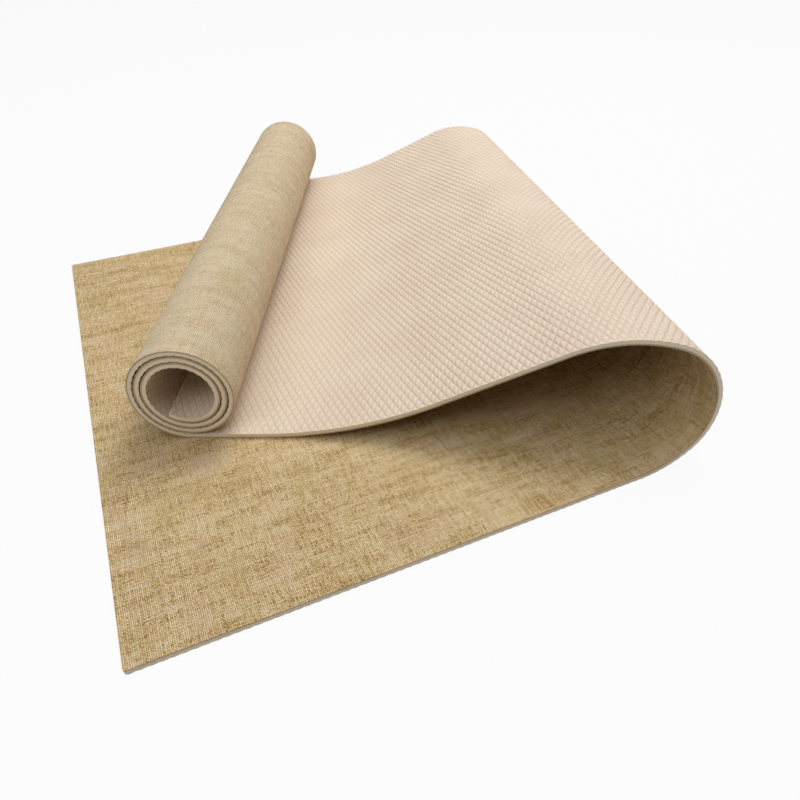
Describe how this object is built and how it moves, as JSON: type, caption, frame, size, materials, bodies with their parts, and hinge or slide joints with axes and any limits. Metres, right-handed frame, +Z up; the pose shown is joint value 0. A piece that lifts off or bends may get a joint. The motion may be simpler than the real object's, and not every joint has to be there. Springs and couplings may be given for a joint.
{
  "type": "yoga mat",
  "caption": "Jute-faced foam exercise mat, half unrolled: a flat run, a soft fold that opens, and a roll resting on top.",
  "frame": {"origin": "middle of the floor run's underside, on the mat's middle line, on the floor", "axes": "+Z up; +Y along the roll's axis, away from the side that the picture looks from; +X from the roll towards the fold. The floor run lies askew, with its length 25 degrees anticlockwise of +X"},
  "size_m": [0.6972, 0.8306, 0.1101],
  "materials": {
    "foam": "matte closed-cell foam, embossed with a fine diamond pattern underneath",
    "film": "thin cured bond line",
    "jute": "natural plain-woven jute with pale slubs"
  },
  "bodies": {
    "floor_run": {"floor_run_foam": "foam", "floor_run_film": "film", "floor_run_jute": "jute"},
    "fold_01": {"fold_01_foam": "foam", "fold_01_film": "film", "fold_01_jute": "jute"},
    "fold_02": {"fold_02_foam": "foam", "fold_02_film": "film", "fold_02_jute": "jute"},
    "fold_03": {"fold_03_foam": "foam", "fold_03_film": "film", "fold_03_jute": "jute"},
    "fold_04": {"fold_04_foam": "foam", "fold_04_film": "film", "fold_04_jute": "jute"},
    "fold_05": {"fold_05_foam": "foam", "fold_05_film": "film", "fold_05_jute": "jute"},
    "upper_run": {"upper_run_foam": "foam", "upper_run_film": "film", "upper_run_jute": "jute"},
    "settle_1": {"settle_1_foam": "foam", "settle_1_film": "film", "settle_1_jute": "jute"},
    "roll": {"roll_foam": "foam", "roll_film": "film", "roll_jute": "jute"}
  },
  "joints": [
    {"name": "fold_open", "type": "hinge", "parent": "floor_run", "child": "fold_01", "pos_m": [0.24296, 0.11295, 0.00302], "axis": [-0.1941, 0.981, -0.0008], "range_deg": [0, 28.15]},
    {"name": "fold_02_bend", "type": "hinge", "parent": "fold_01", "child": "fold_02", "pos_m": [0.27217, 0.12748, 0.0203], "axis": [-0.202, 0.9794, -0.0052], "range_deg": [0, 30.38]},
    {"name": "fold_03_bend", "type": "hinge", "parent": "fold_02", "child": "fold_03", "pos_m": [0.28237, 0.13575, 0.04381], "axis": [-0.2049, 0.9787, -0.0111], "range_deg": [0, 30.38]},
    {"name": "fold_04_bend", "type": "hinge", "parent": "fold_03", "child": "fold_04", "pos_m": [0.27815, 0.14105, 0.06988], "axis": [-0.2041, 0.9788, -0.0176], "range_deg": [0, 30.38]},
    {"name": "fold_05_bend", "type": "hinge", "parent": "fold_04", "child": "fold_05", "pos_m": [0.26047, 0.14343, 0.09005], "axis": [-0.1967, 0.9801, -0.0264], "range_deg": [0, 30.38]},
    {"name": "upper_run_bend", "type": "hinge", "parent": "fold_05", "child": "upper_run", "pos_m": [0.2076, 0.14414, 0.10002], "axis": [-0.1722, 0.9846, -0.0313], "range_deg": [0, 40.02]},
    {"name": "settle_1_bend", "type": "hinge", "parent": "upper_run", "child": "settle_1", "pos_m": [0.04647, 0.14575, 0.02617], "axis": [-0.1015, 0.9948, 0], "range_deg": [-12.11, 0]},
    {"name": "roll_bend", "type": "hinge", "parent": "settle_1", "child": "roll", "pos_m": [-0.0333, 0.14593, 0.00762], "axis": [-0.1015, 0.9948, 0], "range_deg": [-12.11, 0]}
  ],
  "couplings": [
    {"joint": "fold_02_bend", "follows": "fold_open", "ratio": 1.0792},
    {"joint": "fold_03_bend", "follows": "fold_open", "ratio": 1.0792},
    {"joint": "fold_04_bend", "follows": "fold_open", "ratio": 1.0792},
    {"joint": "fold_05_bend", "follows": "fold_open", "ratio": 1.0792},
    {"joint": "upper_run_bend", "follows": "fold_open", "ratio": 1.4216},
    {"joint": "settle_1_bend", "follows": "fold_open", "ratio": -0.4301},
    {"joint": "roll_bend", "follows": "fold_open", "ratio": -0.4301}
  ]
}
